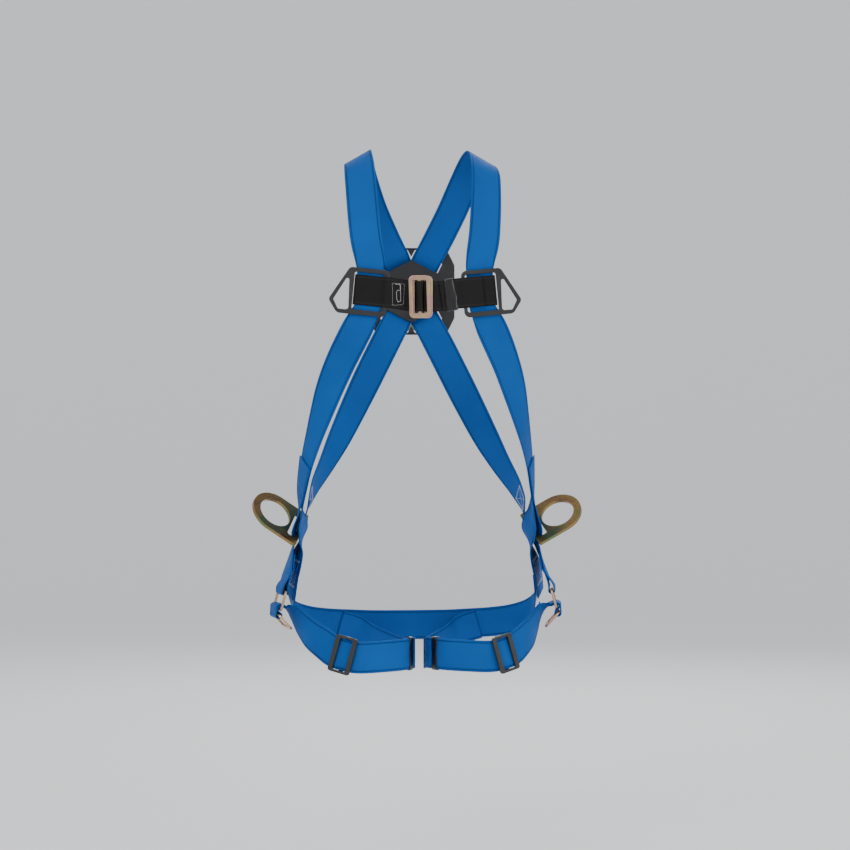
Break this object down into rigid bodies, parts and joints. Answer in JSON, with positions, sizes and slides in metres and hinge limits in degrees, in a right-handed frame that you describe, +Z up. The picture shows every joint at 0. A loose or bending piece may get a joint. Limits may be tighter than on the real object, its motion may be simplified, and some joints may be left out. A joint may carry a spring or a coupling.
{
  "type": "full-body fall-arrest harness",
  "caption": "Full-body fall-arrest harness in its worn shape: blue shoulder and leg webbing, black chest strap, steel plate buckles, side and dorsal rings.",
  "frame": {"origin": "midway between the tops of the two shoulder straps, where the harness hangs on the wearer", "axes": "+Z up, +X to the picture's right (the wearer's left), the wearer faces -Y"},
  "size_m": [0.4889, 0.3044, 0.7639],
  "materials": {
    "main_webbing": "woven polyester with a soft sheen",
    "chest_webbing": "woven polyester, ribbed",
    "elastic": "smooth elastic with a soft shine",
    "black_plastic": "matte, finely grained",
    "passivated_steel": "yellow-pink passivated zinc",
    "ring_steel": "olive-gold passivated zinc"
  },
  "bodies": {
    "harness": {"main_strap_left": "main_webbing", "main_strap_right": "main_webbing", "hip_strap_left": "main_webbing", "hip_strap_right": "main_webbing", "seat_strap": "main_webbing", "leg_strap_left": "main_webbing", "leg_strap_right": "main_webbing", "leg_keeper_left": "elastic", "leg_keeper_right": "elastic", "leg_buckle_female_left": "passivated_steel", "leg_buckle_female_right": "passivated_steel", "dorsal_plate": "black_plastic"},
    "dorsal_ring": {"dorsal_ring": "ring_steel"},
    "side_ring_left": {"side_ring_left": "ring_steel"},
    "side_ring_right": {"side_ring_right": "ring_steel"},
    "chest_left": {"chest_frame_left": "black_plastic", "chest_strap_left": "chest_webbing"},
    "chest_right": {"chest_frame_right": "black_plastic", "chest_strap_right": "chest_webbing", "chest_buckle_female": "passivated_steel"},
    "chest_tongue": {"chest_buckle_male": "passivated_steel"},
    "chest_keeper": {"chest_keeper": "elastic"},
    "leg_tongue_left": {"leg_buckle_male_left": "passivated_steel"},
    "leg_tongue_right": {"leg_buckle_male_right": "passivated_steel"},
    "leg_slider_left": {"leg_slider_left": "black_plastic"},
    "leg_slider_right": {"leg_slider_right": "black_plastic"}
  },
  "joints": [
    {"name": "side_ring_left_turn", "type": "hinge", "parent": "harness", "child": "side_ring_left", "pos_m": [-0.1725, 0.026, -0.558], "axis": [0.2999, 0.7796, 0.5498], "range_deg": [-58, 8]},
    {"name": "side_ring_right_turn", "type": "hinge", "parent": "harness", "child": "side_ring_right", "pos_m": [0.1725, 0.026, -0.558], "axis": [-0.2999, 0.7796, 0.5498], "range_deg": [-12, 58]},
    {"name": "dorsal_ring_turn", "type": "hinge", "parent": "harness", "child": "dorsal_ring", "pos_m": [0, 0.1105, -0.2], "axis": [1, 0, 0], "range_deg": [0, 80]},
    {"name": "chest_left_height", "type": "slide", "parent": "harness", "child": "chest_left", "axis": [0, 0, 1], "range_m": [0, 0.006]},
    {"name": "chest_right_height", "type": "slide", "parent": "harness", "child": "chest_right", "axis": [0, 0, 1], "range_m": [0, 0.006]},
    {"name": "chest_tongue_turn", "type": "hinge", "parent": "chest_left", "child": "chest_tongue", "pos_m": [-0.0095, -0.1248, -0.2218], "axis": [-0.0279, 0, 0.9996], "range_deg": [-13, 0]},
    {"name": "chest_keeper_slide", "type": "slide", "parent": "chest_right", "child": "chest_keeper", "axis": [1, 0, 0], "range_m": [-0.002, 0.001]},
    {"name": "leg_tongue_left_turn", "type": "hinge", "parent": "harness", "child": "leg_tongue_left", "pos_m": [-0.20829, 0.00194, -0.67957], "axis": [-0.1701, 0.9854, 0], "range_deg": [-15, 45]},
    {"name": "leg_slider_left_slide", "type": "hinge", "parent": "harness", "child": "leg_slider_left", "pos_m": [-0.0814, -0.0328, -0.729], "axis": [0.28, 0, 0.96], "range_deg": [-2.4, 2.4]},
    {"name": "leg_tongue_right_turn", "type": "hinge", "parent": "harness", "child": "leg_tongue_right", "pos_m": [0.20829, 0.00194, -0.67957], "axis": [0.1701, 0.9854, 0], "range_deg": [-45, 15]},
    {"name": "leg_slider_right_slide", "type": "hinge", "parent": "harness", "child": "leg_slider_right", "pos_m": [0.0814, -0.0328, -0.729], "axis": [-0.28, 0, 0.96], "range_deg": [-2.4, 2.4]}
  ],
  "couplings": [
    {"joint": "chest_left_height", "follows": "chest_right_height", "ratio": 1}
  ]
}
